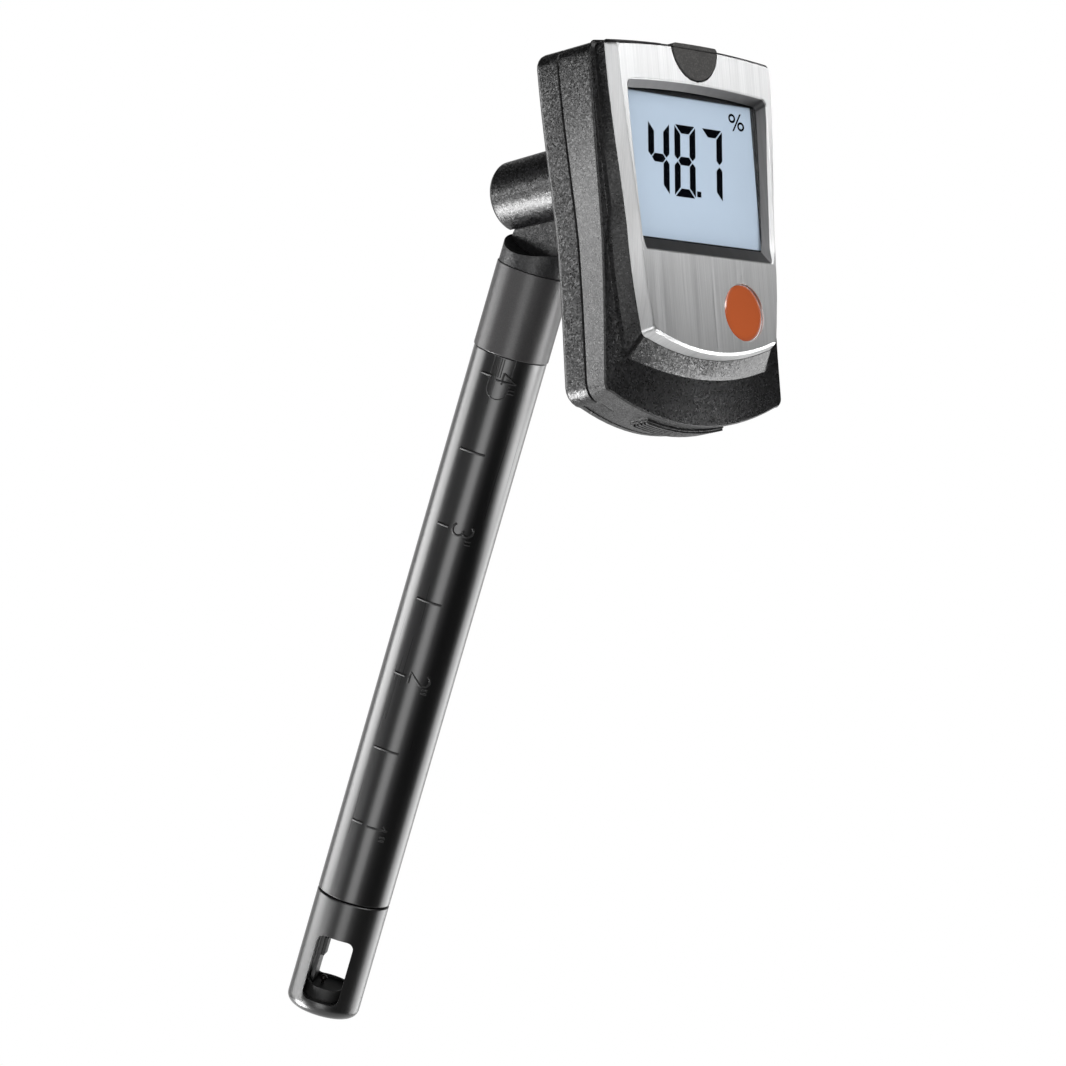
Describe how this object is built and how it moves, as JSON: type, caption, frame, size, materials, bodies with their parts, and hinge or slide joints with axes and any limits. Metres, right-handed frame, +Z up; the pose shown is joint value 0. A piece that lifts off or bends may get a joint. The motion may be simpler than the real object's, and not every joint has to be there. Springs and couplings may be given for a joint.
{
  "type": "thermo-hygrometer",
  "caption": "Handheld humidity and temperature probe: display head that swivels on a marked tube, with a vented twist cap and a sliding battery drawer.",
  "frame": {"origin": "centre of the flat end of the protective cap, at the sensor tip of the probe", "axes": "+Z runs up the probe from the tip to the head, +X is to the right of someone facing the display, and +Y points to the back of the probe, away from the display"},
  "size_m": [0.0408, 0.0531, 0.1696],
  "materials": {
    "tube_plastic": "glossy black, moulded",
    "sleeve_plastic": "satin dark grey",
    "circuit_board": "green solder resist",
    "sensor_ceramic": "pale ceramic",
    "bead_resin": "cast resin bead",
    "spring_steel": "plain spring wire",
    "lead_insulation": "soft insulation",
    "housing_plastic": "fine spark texture",
    "brushed_plate": "brushed along its height, bright edges",
    "window": "clear, glossy",
    "display": "pale blue-grey reflective display",
    "dark_plastic": "plain black",
    "contact_rubber": "soft conductive rubber",
    "connector_plastic": "pale moulded",
    "pin_steel": "ground",
    "washer_bronze": "stamped",
    "badge_enamel": "plain enamelled disc",
    "screw_steel": "zinc plated",
    "contact_brass": "gold plated spring contact",
    "key_plastic": "satin grey",
    "cell_steel": "nickel plated can"
  },
  "bodies": {
    "probe": {"shaft_tube": "tube_plastic", "collar_sleeve": "sleeve_plastic", "hinge_collar": "tube_plastic", "sensor_holder": "tube_plastic", "sensor_board": "circuit_board", "humidity_sensor": "sensor_ceramic", "temperature_bead": "bead_resin", "cap_snap_ring": "spring_steel", "probe_leads": "lead_insulation"},
    "cap": {"protective_cap": "tube_plastic"},
    "head": {"rear_shell": "housing_plastic", "front_shell": "housing_plastic", "faceplate": "brushed_plate", "window_lens": "window", "lcd_frame": "dark_plastic", "lcd_glass": "display", "elastomer_strips": "contact_rubber", "main_board": "circuit_board", "controller_chip": "dark_plastic", "key_switch": "spring_steel", "lead_connector": "connector_plastic", "head_leads": "lead_insulation", "hinge_pin": "pin_steel", "friction_washers": "washer_bronze", "badge_disc": "badge_enamel", "housing_screws": "screw_steel", "battery_contacts": "contact_brass"},
    "key": {"power_key": "key_plastic", "switch_plunger": "dark_plastic"},
    "drawer": {"battery_drawer": "housing_plastic", "left_cell": "cell_steel", "right_cell": "cell_steel", "upper_cell": "cell_steel"}
  },
  "joints": [
    {"name": "head_swivel", "type": "hinge", "parent": "probe", "child": "head", "pos_m": [0, 0, 0.141], "axis": [1, 0, 0], "range_deg": [-50, 28]},
    {"name": "cap_twist", "type": "hinge", "parent": "probe", "child": "cap", "pos_m": [0, 0, 0.01], "axis": [0, 0, 1], "range_deg": [0, 90]},
    {"name": "key_press", "type": "slide", "parent": "head", "child": "key", "axis": [0, 0.8829, -0.4695], "range_m": [0, 0.0006], "stiffness_N_per_m": 1500},
    {"name": "drawer_slide", "type": "slide", "parent": "head", "child": "drawer", "axis": [0, -0.4695, -0.8829], "range_m": [0, 0.022]}
  ]
}
